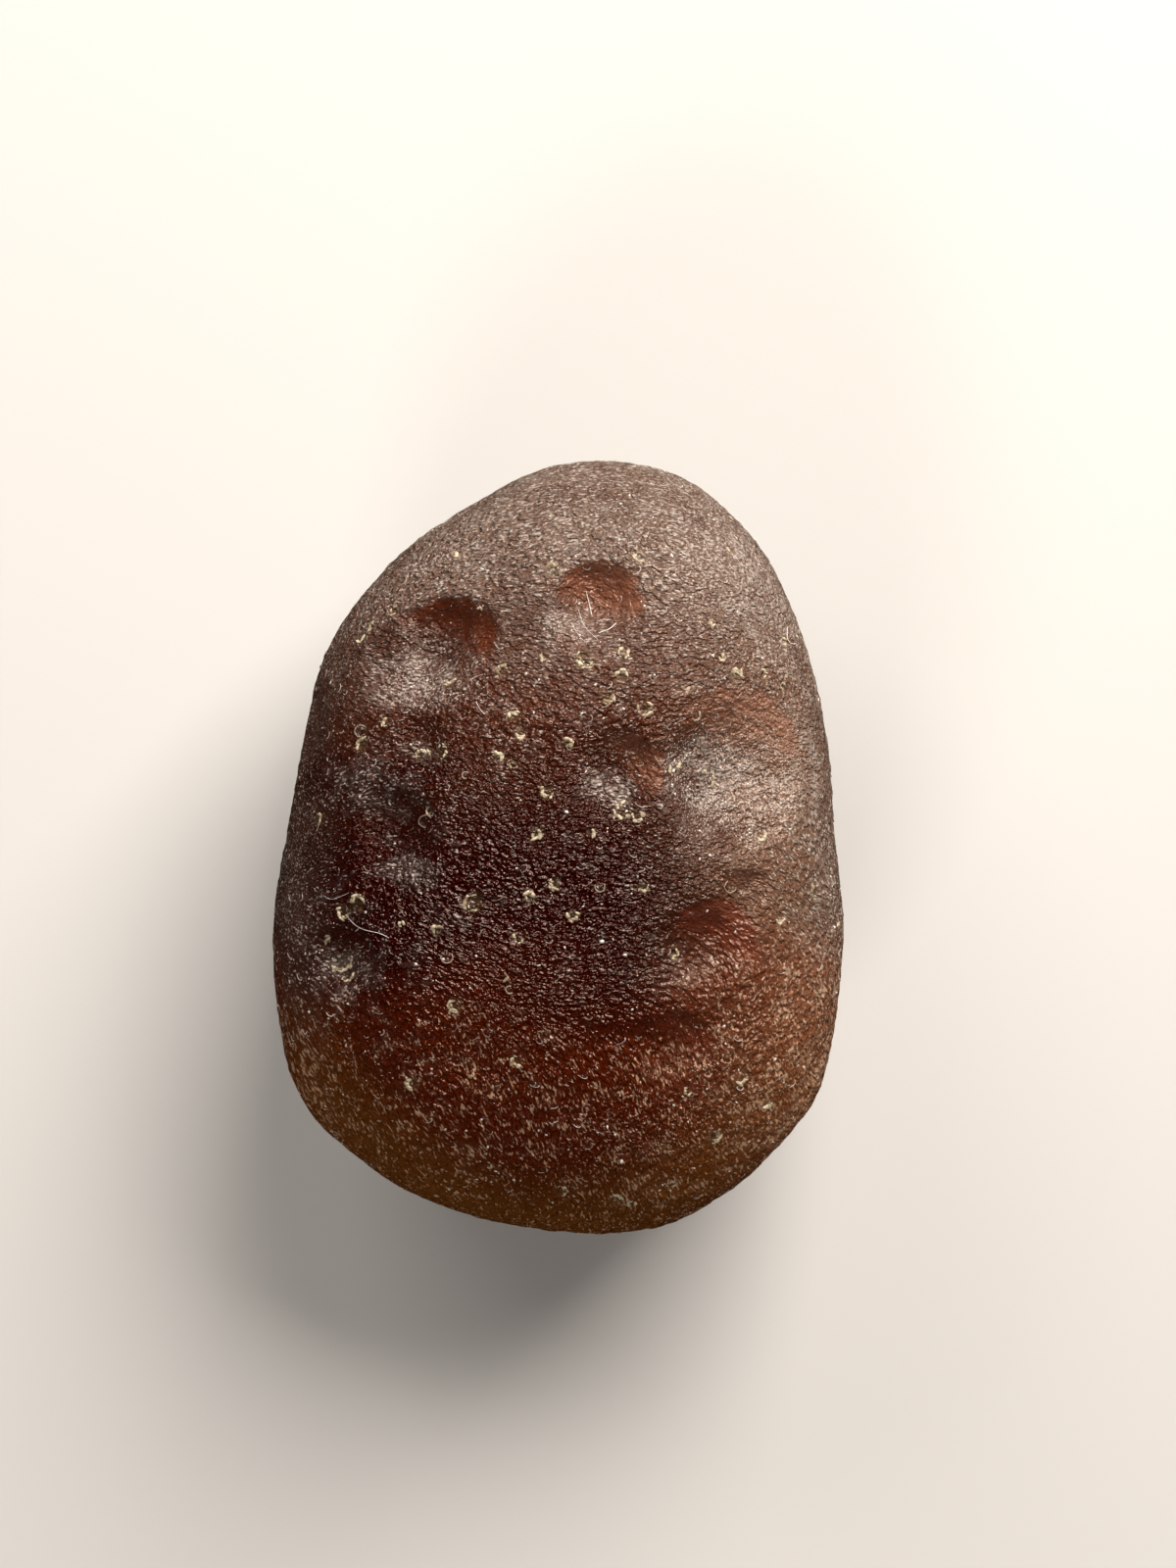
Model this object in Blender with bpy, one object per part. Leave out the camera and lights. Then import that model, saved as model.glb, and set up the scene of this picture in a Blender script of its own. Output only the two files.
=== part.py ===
# Tektite pebble: one piece of dark natural glass, worn smooth, with shallow thumbprint dimples.
# Metres, +Z up. It lies on the small flat spot of its belly, with its dimpled crown facing up.
# +Y runs along its length towards the narrower end. The origin is on the surface that it lies on,
# under the middle of its bounding box.

import math
from collections import namedtuple

import bmesh
import bpy
from mathutils import Matrix, Vector, noise
from mathutils.bvhtree import BVHTree

MM = 0.001

# Seen from above: the distance from the middle to the edge, in millimetres, every 15 degrees,
# counterclockwise from +X. The pebble is 25 mm long and 18.3 mm wide.
PLAN_RADII = (
    9.0, 9.15, 9.75, 10.75, 12.1, 12.8,
    12.5, 11.5, 10.8, 10.15, 9.3, 8.75,
    8.85, 9.55, 10.45, 11.5, 11.8, 11.9,
    12.25, 12.55, 12.0, 11.5, 10.4, 9.55,
)

# Seen from the side, in millimetres and measured from the widest line
CROWN_HEIGHT = 7.1
BELLY_DEPTH = 5.9
FLAT_SPOT_CUT = 0.2  # how far above the belly's lowest point the flat spot lies
FULLNESS = 0.86  # 1 gives an ellipse from the side, less gives fuller shoulders
END_TAPER = 0.10  # the crown is this share lower at the broad -Y end, and higher at +Y

# Swells that keep the skin from being a plain egg: how broad and how high, in millimetres
SWELLS = ((6.5, 0.16), (2.3, 0.07))

# The grid that the skin is laid on: cells along each edge of the starting cube
CELLS = 28

# A dimple's middle is at x and y. across and along are its radii in X and Y, and lip is
# near 1 where its rim is crisp and near 2 where it fades out. All but lip in millimetres.
Dimple = namedtuple("Dimple", "x y across along depth lip")

CROWN_DIMPLES = (
    Dimple(-4.40, 5.75, 2.00, 1.80, 0.44, 1.4),
    Dimple(-3.95, 6.45, 1.30, 1.10, 0.34, 1.1),
    Dimple(1.10, 7.60, 1.40, 1.40, 0.42, 1.1),
    Dimple(1.35, 7.95, 1.10, 0.95, 0.26, 1.2),
    Dimple(5.70, 2.30, 2.45, 2.75, 0.52, 1.3),
    Dimple(4.50, 1.90, 1.35, 1.90, 0.28, 1.0),
    Dimple(5.10, 0.40, 1.60, 1.30, 0.16, 1.6),
    Dimple(1.65, 2.35, 1.25, 1.25, 0.48, 1.1),
    Dimple(4.30, -3.00, 1.65, 1.45, 0.50, 1.2),
    Dimple(5.80, -1.30, 0.95, 0.90, 0.26, 1.2),
    Dimple(4.80, -5.20, 1.30, 0.85, 0.20, 1.5),
    Dimple(3.40, -6.20, 1.15, 1.00, 0.22, 1.4),
    Dimple(1.00, -5.80, 1.10, 0.85, 0.18, 1.5),
    Dimple(-6.60, -3.30, 1.20, 1.15, 0.34, 1.3),
    Dimple(-4.95, 0.45, 1.30, 1.50, 0.38, 1.3),
    Dimple(-4.25, 3.15, 1.10, 0.95, 0.26, 1.4),
    Dimple(-0.90, 5.20, 1.60, 0.80, 0.16, 1.6),
    Dimple(-1.90, -1.60, 1.40, 1.10, 0.14, 1.7),
    Dimple(-2.60, -6.30, 1.60, 1.10, 0.16, 1.7),
)

BELLY_DIMPLES = (
    Dimple(4.60, 6.10, 1.70, 1.60, 0.50, 1.3),
    Dimple(-4.90, 5.30, 1.50, 1.70, 0.42, 1.4),
    Dimple(6.20, -0.80, 1.40, 1.60, 0.36, 1.5),
    Dimple(-6.10, -1.90, 1.90, 1.70, 0.48, 1.4),
    Dimple(1.90, -8.20, 1.90, 1.40, 0.44, 1.4),
    Dimple(-3.10, -8.40, 1.30, 1.20, 0.28, 1.6),
    Dimple(0.20, 9.10, 1.60, 1.20, 0.34, 1.5),
)

# A nick in the edge: its bearing from +X in degrees, its height above the widest line,
# and its radii along the edge and up it, in millimetres.
Nick = namedtuple("Nick", "bearing height along_edge up_edge depth lip")

EDGE_NICKS = (
    Nick(152, 2.3, 1.10, 1.50, 0.36, 1.1),
    Nick(336, 0.2, 0.80, 1.10, 0.20, 1.2),
    Nick(308, 0.2, 1.60, 1.60, 0.22, 1.5),
    Nick(118, -1.6, 1.70, 1.40, 0.34, 1.5),
    Nick(22, -1.8, 1.50, 1.30, 0.32, 1.5),
    Nick(196, -2.2, 1.60, 1.30, 0.32, 1.6),
    Nick(262, -1.4, 1.80, 1.20, 0.30, 1.5),
)

GLASS_COLOUR = (0.070, 0.024, 0.014, 1.0)
GLASS_ROUGHNESS = 0.42
GLASS_IOR = 1.49
GLASS_CLEARNESS = 0.35


def clear_scene():
    for obj in list(bpy.data.objects):
        bpy.data.objects.remove(obj, do_unlink=True)


def plan_radius(bearing):
    """The edge's distance from the middle at a bearing in radians, on a smooth closed curve."""
    count = len(PLAN_RADII)
    place = (bearing / (2 * math.pi) % 1.0) * count
    step = int(place)
    t = place - step
    before, start, end, after = (PLAN_RADII[(step + k) % count] for k in (-1, 0, 1, 2))
    leaving = (end - before) / 2
    arriving = (after - start) / 2
    return (
        start * (2 * t**3 - 3 * t**2 + 1)
        + leaving * (t**3 - 2 * t**2 + t)
        + end * (3 * t**2 - 2 * t**3)
        + arriving * (t**3 - t**2)
    )


def egg_point(direction):
    """Where the smooth egg meets a ray from its middle, in millimetres."""
    flat_share = math.hypot(direction.x, direction.y)
    bearing = math.atan2(direction.y, direction.x)
    reach = plan_radius(bearing) * flat_share**FULLNESS
    x = reach * math.cos(bearing)
    y = reach * math.sin(bearing)
    rise = abs(direction.z) ** FULLNESS
    if direction.z < 0:
        return Vector((x, y, -BELLY_DEPTH * rise))
    taper = 1 + END_TAPER * y / max(PLAN_RADII)
    return Vector((x, y, CROWN_HEIGHT * taper * rise))


def egg_skin():
    """A cube whose gridded faces are blown out to the egg's skin, with cells of even size."""
    skin = bmesh.new()
    bmesh.ops.create_cube(skin, size=2)
    bmesh.ops.subdivide_edges(skin, edges=skin.edges[:], cuts=CELLS - 1, use_grid_fill=True)
    for vert in skin.verts:
        evened = Vector([math.tan(side * math.pi / 4) for side in vert.co])
        vert.co = egg_point(evened.normalized())
    skin.normal_update()
    return skin


def hollow(spot, normal, across_axis, radii, depth, lip):
    """A function that says how far one dimple or nick sinks the skin at a point."""
    across = (across_axis - normal * across_axis.dot(normal)).normalized()
    along = normal.cross(across)

    def sink(point):
        away = point - spot
        share = (away.dot(across) / radii[0]) ** 2 + (away.dot(along) / radii[1]) ** 2
        if share >= 1 or abs(away.dot(normal)) > max(radii):
            return 0.0
        return depth * (1 - share) ** lip

    return sink


def hollows_on(skin):
    """Every dimple and nick, set on the egg by a ray from outside it."""
    tree = BVHTree.FromBMesh(skin)
    outside = 2 * max(PLAN_RADII)
    made = []
    for dimples, side in ((CROWN_DIMPLES, 1), (BELLY_DIMPLES, -1)):
        for d in dimples:
            spot, normal, _, _ = tree.ray_cast(
                Vector((d.x, d.y, side * outside)), Vector((0, 0, -side))
            )
            made.append(
                hollow(spot, normal, Vector((1, 0, 0)), (d.across, d.along), d.depth, d.lip)
            )
    for n in EDGE_NICKS:
        bearing = math.radians(n.bearing)
        outward = Vector((math.cos(bearing), math.sin(bearing), 0))
        edge = Vector((-math.sin(bearing), math.cos(bearing), 0))
        start = outward * outside + Vector((0, 0, n.height))
        spot, normal, _, _ = tree.ray_cast(start, -outward)
        made.append(hollow(spot, normal, edge, (n.along_edge, n.up_edge), n.depth, n.lip))
    return made


def weather(skin):
    """Sinks the dimples and nicks into the skin, and swells it broadly."""
    hollows = hollows_on(skin)
    moved = []
    for vert in skin.verts:
        swell = sum(high * noise.noise(vert.co / broad) for broad, high in SWELLS)
        sunk = sum(sink(vert.co) for sink in hollows)
        moved.append(vert.co + vert.normal * (swell - sunk))
    for vert, place in zip(skin.verts, moved):
        vert.co = place


def rest_on_flat_spot(skin):
    """Flattens the belly's lowest part, and puts the origin under the middle, in metres."""
    rest_level = min(vert.co.z for vert in skin.verts) + FLAT_SPOT_CUT
    for vert in skin.verts:
        vert.co.z = max(vert.co.z, rest_level)
    middle = [
        (min(vert.co[axis] for vert in skin.verts) + max(vert.co[axis] for vert in skin.verts)) / 2
        for axis in (0, 1)
    ]
    bmesh.ops.translate(skin, verts=skin.verts, vec=(-middle[0], -middle[1], -rest_level))
    bmesh.ops.transform(skin, matrix=Matrix.Scale(MM, 4), verts=skin.verts)


def smoky_glass():
    material = bpy.data.materials.new("smoky_brown_glass")
    material.use_nodes = True
    shader = material.node_tree.nodes["Principled BSDF"]
    shader.inputs["Base Color"].default_value = GLASS_COLOUR
    shader.inputs["Roughness"].default_value = GLASS_ROUGHNESS
    shader.inputs["Metallic"].default_value = 0.0
    shader.inputs["IOR"].default_value = GLASS_IOR
    shader.inputs["Transmission Weight"].default_value = GLASS_CLEARNESS
    return material


def build_tektite():
    skin = egg_skin()
    weather(skin)
    rest_on_flat_spot(skin)
    mesh = bpy.data.meshes.new("tektite")
    skin.to_mesh(mesh)
    skin.free()
    mesh.shade_smooth()
    mesh.materials.append(smoky_glass())

    collection = bpy.data.collections.new("tektite_pebble")
    bpy.context.scene.collection.children.link(collection)
    tektite = bpy.data.objects.new("tektite", mesh)
    collection.objects.link(tektite)
    return tektite


clear_scene()
build_tektite()
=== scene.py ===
# Looks of the tektite pebble: frosted smoky glass with a hammered skin, thumbprint scoops,
# pits that hold pale dirt, small chips and lips, a few bubble rings and a little lint.
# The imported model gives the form, size and place; everything here is laid on it.

import math
import random
from collections import namedtuple

import bmesh
import bpy
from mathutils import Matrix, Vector
from mathutils.bvhtree import BVHTree


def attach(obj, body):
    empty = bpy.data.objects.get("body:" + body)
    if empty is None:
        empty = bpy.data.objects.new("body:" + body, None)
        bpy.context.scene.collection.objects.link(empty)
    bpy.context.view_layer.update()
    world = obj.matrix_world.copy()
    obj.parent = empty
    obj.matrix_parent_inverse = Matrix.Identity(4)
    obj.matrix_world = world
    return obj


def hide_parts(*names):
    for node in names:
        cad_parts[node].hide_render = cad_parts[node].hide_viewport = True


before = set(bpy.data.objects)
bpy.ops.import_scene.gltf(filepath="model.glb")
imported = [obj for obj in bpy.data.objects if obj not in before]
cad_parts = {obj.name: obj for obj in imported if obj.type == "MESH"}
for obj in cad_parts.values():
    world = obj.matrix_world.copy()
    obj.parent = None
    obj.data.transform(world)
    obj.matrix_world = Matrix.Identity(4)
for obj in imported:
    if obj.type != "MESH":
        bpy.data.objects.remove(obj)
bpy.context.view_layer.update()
mm = 0.001
mmPerMetre = 1000.0


# Node building

class Wire:
    # one output of a node, so that maths on it reads as a plain expression
    def __init__(self, bench, socket):
        self.bench = bench
        self.socket = socket

    def other(self, name):
        return Wire(self.bench, self.socket.node.outputs[name])

    def maths(self, operation, *others):
        return self.bench.calculate(operation, self, *others)

    def __add__(self, value):
        return self.maths("ADD", value)

    def __radd__(self, value):
        return self.maths("ADD", value)

    def __sub__(self, value):
        return self.maths("SUBTRACT", value)

    def __rsub__(self, value):
        return self.bench.calculate("SUBTRACT", value, self)

    def __mul__(self, value):
        return self.maths("MULTIPLY", value)

    def __rmul__(self, value):
        return self.maths("MULTIPLY", value)

    def __truediv__(self, value):
        return self.maths("DIVIDE", value)

    def __rtruediv__(self, value):
        return self.bench.calculate("DIVIDE", value, self)

    def __pow__(self, value):
        return self.maths("POWER", value)

    def atLeast(self, value):
        return self.maths("MAXIMUM", value)

    def atMost(self, value):
        return self.maths("MINIMUM", value)


class Bench:
    # adds nodes to one tree
    def __init__(self, tree):
        self.tree = tree

    def add(self, kind, settings=None, inputs=None, output=0):
        # the settings come first, since they decide which sockets the node has
        node = self.tree.nodes.new(kind)
        for name, value in (settings or {}).items():
            setattr(node, name, value)
        for name, value in (inputs or {}).items():
            if isinstance(value, Wire):
                self.tree.links.new(value.socket, node.inputs[name])
            else:
                node.inputs[name].default_value = value
        if not node.outputs:
            return None
        return Wire(self, node.outputs[output])

    def calculate(self, operation, *values):
        return self.add("ShaderNodeMath", {"operation": operation}, dict(enumerate(values)))

    def vector(self, operation, *values, output=0):
        inputs = dict(enumerate(values))
        if operation == "SCALE":
            inputs = {0: values[0], "Scale": values[1]}
        return self.add("ShaderNodeVectorMath", {"operation": operation}, inputs, output)

    def noise(self, place, size, detail=2.0, output=0):
        return self.add("ShaderNodeTexNoise", None,
                        {"Vector": place, "Scale": 1 / size, "Detail": detail}, output)

    def drift(self, place, size, detail=2.0):
        # a vector that wanders round zero from place to place
        return self.vector("SUBTRACT", self.noise(place, size, detail, "Color"), (0.5, 0.5, 0.5))

    def position(self):
        return self.add("GeometryNodeInputPosition")

    def random(self, low, high, seed, identity=None):
        inputs = {2: low, 3: high, "Seed": seed}
        if identity is not None:
            inputs["ID"] = identity
        return self.add("FunctionNodeRandomValue", {"data_type": "FLOAT"}, inputs, output=1)

    def randomVector(self, spread, seed):
        lowest = tuple(-part for part in spread)
        return self.add("FunctionNodeRandomValue", {"data_type": "FLOAT_VECTOR"},
                        {0: lowest, 1: spread, "Seed": seed})

    def xyz(self, across, along, up):
        return self.add("ShaderNodeCombineXYZ", None, {"X": across, "Y": along, "Z": up})

    def parts(self, vector):
        split = self.add("ShaderNodeSeparateXYZ", None, {0: vector})
        return split, split.other("Y"), split.other("Z")

    def smooth(self, value, low, high, start=0.0, end=1.0):
        return self.add("ShaderNodeMapRange", {"interpolation_type": "SMOOTHSTEP"}, {
            "Value": value, "From Min": low, "From Max": high, "To Min": start, "To Max": end})

    def blend(self, share, first, second):
        return self.add("ShaderNodeMix", {"data_type": "RGBA"},
                        {0: share, 6: first, 7: second}, output=2)


def colour(red, green, blue):
    return (red, green, blue, 1)


def newMaterial(name):
    # a material with the bench for its tree and its main shader
    material = bpy.data.materials.new(name)
    material.use_nodes = True
    return material, Bench(material.node_tree), material.node_tree.nodes["Principled BSDF"]


def surfaceInMm(bench):
    # where a point of a surface is, for a material
    return bench.vector("SCALE", bench.add("ShaderNodeTexCoord").other("Object"), mmPerMetre)


def positionInMm(bench):
    # where a point of a mesh is, for a Geometry Nodes tree
    return bench.vector("SCALE", bench.position(), mmPerMetre)


def geometryTree(name, numbers, others):
    # an empty Geometry Nodes tree with named inputs; returns its bench and its inputs
    tree = bpy.data.node_groups.new(name, "GeometryNodeTree")
    tree.interface.new_socket("Geometry", in_out="INPUT", socket_type="NodeSocketGeometry")
    for label in numbers:
        tree.interface.new_socket(label, in_out="INPUT", socket_type="NodeSocketFloat")
    for label, kind in (*others, ("Material", "NodeSocketMaterial")):
        tree.interface.new_socket(label, in_out="INPUT", socket_type=kind)
    tree.interface.new_socket("Geometry", in_out="OUTPUT", socket_type="NodeSocketGeometry")
    bench = Bench(tree)
    entry = bench.add("NodeGroupInput")
    given = {socket.name: Wire(bench, socket) for socket in entry.socket.node.outputs if socket.name}
    return bench, given


def endTree(bench, given, shape):
    # the material and the output that close every tree
    coated = bench.add("GeometryNodeSetMaterial", None,
                       {"Geometry": shape, "Material": given["Material"]})
    bench.add("NodeGroupOutput", None, {0: coated})
    return bench.tree


def copiesOn(bench, points, shape, turn, size):
    # one copy of the shape on each point, as real faces
    copies = bench.add("GeometryNodeInstanceOnPoints", None, {
        "Points": points, "Instance": shape, "Rotation": turn, "Scale": size})
    return bench.add("GeometryNodeRealizeInstances", None, {0: copies})


def namedNumber(bench, name, kind="FLOAT"):
    return bench.add("GeometryNodeInputNamedAttribute", {"data_type": kind}, {"Name": name})


def runTree(piece, tree, values):
    # puts the tree on the piece, sets its inputs by identifier and makes the result a plain mesh
    modifier = piece.modifiers.new(tree.name, "NODES")
    modifier.node_group = tree
    for item in tree.interface.items_tree:
        if item.in_out == "INPUT" and item.name in values:
            modifier[item.identifier] = values[item.name]
    bakeModifiers(piece)


def evaluatedMesh(piece):
    shown = piece.evaluated_get(bpy.context.evaluated_depsgraph_get())
    return bpy.data.meshes.new_from_object(shown)


def bakeModifiers(piece):
    mesh = evaluatedMesh(piece)
    piece.modifiers.clear()
    piece.data = mesh
    mesh.name = piece.name
    mesh.shade_smooth()


def newPiece(name, mesh):
    piece = bpy.data.objects.new(name, mesh)
    bpy.context.scene.collection.objects.link(piece)
    return piece


def copyOf(piece, name):
    return newPiece(name, piece.data.copy())


def finishPiece(piece):
    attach(piece, "root")
    print(f"{piece.name}: {len(piece.data.polygons)} faces")


# Camera, floor and light

view = {
    "photoSize": (1200, 1600),       # pixels
    "mmPerPixel": 25.0 / 788,        # at the pebble's widest line, which is 788 pixels long
    "pebbleMiddle": (570, 864),      # pixels
    "widestLine": 5.7 * mm,          # its height above the floor
    "distance": 117 * mm,            # from the camera to the widest line
    "sensor": 36.0,                  # millimetres
    "nearest": 5 * mm,               # nothing closer to the camera is drawn
}


def placeCamera():
    wide, tall = view["photoSize"]
    scale = view["mmPerPixel"] * mm
    middleX = (wide / 2 - view["pebbleMiddle"][0]) * scale
    middleY = (view["pebbleMiddle"][1] - tall / 2) * scale
    lens = bpy.data.cameras.new("camera")
    lens.sensor_width = view["sensor"]
    lens.lens = view["sensor"] * view["distance"] / (tall * scale)
    lens.clip_start = view["nearest"]
    camera = bpy.data.objects.new("camera", lens)
    camera.location = (middleX, middleY, view["widestLine"] + view["distance"])
    bpy.context.scene.collection.objects.link(camera)
    bpy.context.scene.camera = camera
    return camera


def underPixel(surface, camera, across, down):
    # the surface's place and normal under a pixel of the photograph
    wide, tall = view["photoSize"]
    scale = view["mmPerPixel"] * mm
    way = Vector(((across - wide / 2) * scale, (tall / 2 - down) * scale, -view["distance"]))
    return surface.ray_cast(camera.location, way.normalized())[:2]


# A lamp: its direction from the pebble, its distance and width in metres, its watts and its colour
Lamp = namedtuple("Lamp", "way distance width watts tint")
studio = {
    "floorSize": 3.0,
    "floorColour": colour(0.62, 0.60, 0.58),
    "floorRoughness": 0.9,
    "floorShine": 0.2,
    "skyHigh": colour(0.015, 0.014, 0.013),
    "skyLow": colour(0.20, 0.19, 0.18),
    "skyTop": 0.55,        # how high the sky reaches its high colour, 1 being overhead
    "lamps": {
        "keyLamp": Lamp((0.42, 0.74, 0.56), 0.24, 0.18, 1.40, (1.0, 0.94, 0.87)),
        "sideLamp": Lamp((-0.55, 0.85, 0.45), 0.24, 0.14, 0.30, (1.0, 0.95, 0.90)),
        "fillLamp": Lamp((-0.35, -0.90, 0.60), 0.28, 0.10, 0.30, (1.0, 0.95, 0.90)),
    },
    "dullLamps": ("fillLamp", "sideLamp"),     # they aren't mirrored in the pebble
}


def buildFloor():
    mesh = bpy.data.meshes.new("floor")
    shape = bmesh.new()
    bmesh.ops.create_grid(shape, x_segments=1, y_segments=1, size=studio["floorSize"] / 2)
    shape.to_mesh(mesh)
    shape.free()
    floor = newPiece("floor", mesh)
    paper, _, shader = newMaterial("paleFloor")
    shader.inputs["Base Color"].default_value = studio["floorColour"]
    shader.inputs["Roughness"].default_value = studio["floorRoughness"]
    shader.inputs["Specular IOR Level"].default_value = studio["floorShine"]
    mesh.materials.append(paper)
    floor.visible_glossy = False


def buildSky():
    world = bpy.data.worlds.new("studio")
    bpy.context.scene.world = world
    world.use_nodes = True
    bench = Bench(world.node_tree)
    height = bench.parts(bench.add("ShaderNodeTexCoord").other("Generated"))[2]
    rising = bench.smooth(height, 0.0, studio["skyTop"])
    sky = bench.blend(rising, studio["skyLow"], studio["skyHigh"])
    background = world.node_tree.nodes["Background"]
    world.node_tree.links.new(sky.socket, background.inputs["Color"])
    world.cycles_visibility.glossy = False


def placeLamps():
    target = Vector((0, 0, view["widestLine"]))
    for name, lamp in studio["lamps"].items():
        light = bpy.data.lights.new(name, "AREA")
        light.size = lamp.width
        light.energy = lamp.watts
        light.color = lamp.tint
        holder = bpy.data.objects.new(name, light)
        holder.location = target + Vector(lamp.way).normalized() * lamp.distance
        holder.rotation_euler = (target - holder.location).to_track_quat("-Z", "Y").to_euler()
        holder.visible_camera = False
        holder.visible_glossy = name not in studio["dullLamps"]
        bpy.context.scene.collection.objects.link(holder)


camera = placeCamera()
buildFloor()
buildSky()
placeLamps()
bpy.context.scene.view_settings.view_transform = "Standard"
print("camera and studio placed")


# The form of the glass skin

# Scoops whose edges are crisper than the solid's, in millimetres: middle x and y, radii, depth.
# steep is the direction of the steepest wall. The glass is bare, and painted with a glow of light
# shining through it, by strength, from the share start of the way towards the bare wall, which faces
# away from the key lamp; -1 and 1 are the scoop's edges.
Scoop = namedtuple("Scoop", "x y across along depth steep bare start strength")

skin = {
    "weld": 0.01 * mm,
    "pairAngle": 50,           # degrees; triangles that meet flatter than this become quads
    "levels": 2,
    "inputs": {                # millimetres
        "Lump Size": 0.80,
        "Lump Height": 0.10,
        "Grain Size": 0.40,
        "Grain Height": 0.100,
        "Pit Depth": 0.07,
    },
    "bendSize": 1.3,           # millimetres; the plan is bent, so that no rim is a true ellipse
    "bendReach": 1.1,
    "upward": (0.05, 0.3),     # how far the skin has to face up to hold scoops and patches
    "wallSoftness": 0.7,       # shares of a scoop's radius and depth, over which bare glass and its painted glow begin
    "bowlSoftness": 0.30,
    "scoops": (
        Scoop(-3.35, 6.60, 1.70, 1.40, 0.50, (-0.30, 0.80), (0.35, 0.90), -0.35, 0.90),
        Scoop(1.25, 7.70, 1.45, 1.35, 0.40, (0.10, 0.60), (0.35, 0.85), -0.50, 0.90),
        Scoop(5.50, 2.60, 2.40, 2.55, 0.42, (-0.80, 0.10), (0.35, 0.95), 0.05, 0.42),
        Scoop(2.10, 2.45, 1.30, 1.20, 0.34, (0.30, 0.60), (0.75, 0.65), -0.20, 0.45),
        Scoop(4.80, -2.80, 1.60, 1.40, 0.26, (0.30, 0.60), (0.50, 0.80), -0.35, 0.60),
        Scoop(5.85, -1.25, 0.80, 0.75, 0.16, (0.30, 0.60), (0.50, 0.85), -0.20, 0.20),
        Scoop(-4.90, 0.60, 1.30, 1.35, 0.26, (0.10, 0.50), (0.50, 0.85), -0.20, 0.10),
        Scoop(-6.70, -3.30, 1.00, 0.95, 0.26, (0.10, 0.60), (0.50, 0.85), -0.20, 0.10),
        Scoop(-4.40, 3.30, 0.90, 0.75, 0.20, (0.10, 0.60), (0.50, 0.85), -0.20, 0.10),
        Scoop(3.60, -6.10, 1.50, 0.90, 0.22, (0.20, 0.60), (0.60, 0.60), -0.20, 0.35),
    ),
    # where the frost lies thickest and sheen is painted on walls that face the key lamp: middle x and y,
    # radii, strength
    "frostAndSheenPatches": (
        (-4.40, 5.20, 1.50, 0.90, 1.0),
        (0.40, 6.60, 1.10, 0.55, 0.45),
        (4.40, 2.20, 1.50, 1.30, 0.9),
        (5.80, 1.10, 2.20, 1.60, 0.5),
        (1.62, 1.90, 0.92, 0.62, 1.3),
        (4.05, -3.75, 0.95, 0.50, 0.7),
        (-4.60, -0.60, 1.00, 0.50, 0.9),
        (3.90, -6.50, 0.80, 0.45, 0.5),
        (-6.55, -3.90, 1.10, 0.95, 0.9),
        (-4.20, 2.80, 0.70, 0.35, 0.6),
        (-5.60, 1.90, 1.50, 1.00, 0.9),
    ),
    # where the skin is finely speckled instead of wrinkled, in the same order
    "finePatches": (
        (5.70, 2.70, 2.50, 2.50, 1.0),
        (-4.30, 5.10, 1.30, 0.80, 0.6),
        (0.30, 6.70, 0.90, 0.60, 0.6),
    ),
}
patchEdge = 2.0      # a patch begins here and is full at its core, 1 being its radii squared
patchCore = 0.05


def weldedCopy(node):
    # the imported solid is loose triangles: they are merged, then paired into quads
    shape = bmesh.new()
    shape.from_mesh(node.data)
    bmesh.ops.remove_doubles(shape, verts=shape.verts, dist=skin["weld"])
    flattest = math.radians(skin["pairAngle"])
    bmesh.ops.join_triangles(shape, faces=shape.faces, angle_face_threshold=flattest,
                             angle_shape_threshold=flattest)
    mesh = bpy.data.meshes.new("tektite_glass")
    shape.to_mesh(mesh)
    shape.free()
    return mesh


def nearestPit(bench, spots, place):
    # how far a place is from the nearest pit's middle, as a share of its radius, and that pit's dirt
    number = bench.add("GeometryNodeSampleNearest", {"domain": "POINT"},
                       {"Geometry": spots, "Sample Position": place})

    def ofPit(value, kind="FLOAT"):
        return bench.add("GeometryNodeSampleIndex", {"data_type": kind, "domain": "POINT"},
                         {"Geometry": spots, 1: value, "Index": number})

    middle = ofPit(bench.position(), "FLOAT_VECTOR")
    away = bench.vector("DISTANCE", place, middle, output="Value")
    return away / ofPit(namedNumber(bench, "pitRadius")), ofPit(namedNumber(bench, "pitDirt"))


def patchShare(bench, across, along, patches):
    # the strongest patch's strength at a place, which fades to 0 outside the patches
    covered = None
    for middleX, middleY, radiusX, radiusY, strength in patches:
        share = ((across - middleX) / radiusX) ** 2 + ((along - middleY) / radiusY) ** 2
        here = bench.smooth(share, patchEdge, patchCore) * strength
        covered = here if covered is None else covered.atLeast(here)
    return covered


def scooped(bench, rise, across, along, upward):
    # the skin's rise with the scoops taken out of it, and how bare the glass is, which is also where a
    # glow is painted
    bare = None
    for scoop in skin["scoops"]:
        toX = (across - scoop.x) / scoop.across
        toY = (along - scoop.y) / scoop.along
        bowl = (1 - (toX * toX + toY * toY)).atLeast(0.0) * upward
        rise = rise - bowl * (1 + toX * scoop.steep[0] + toY * scoop.steep[1]) * scoop.depth
        toWall = toX * scoop.bare[0] + toY * scoop.bare[1]
        wall = bench.smooth(toWall, scoop.start, scoop.start + skin["wallSoftness"])
        here = bench.smooth(bowl, 0.0, skin["bowlSoftness"]) * wall * scoop.strength
        bare = here if bare is None else bare.atLeast(here)
    return rise, bare


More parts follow.
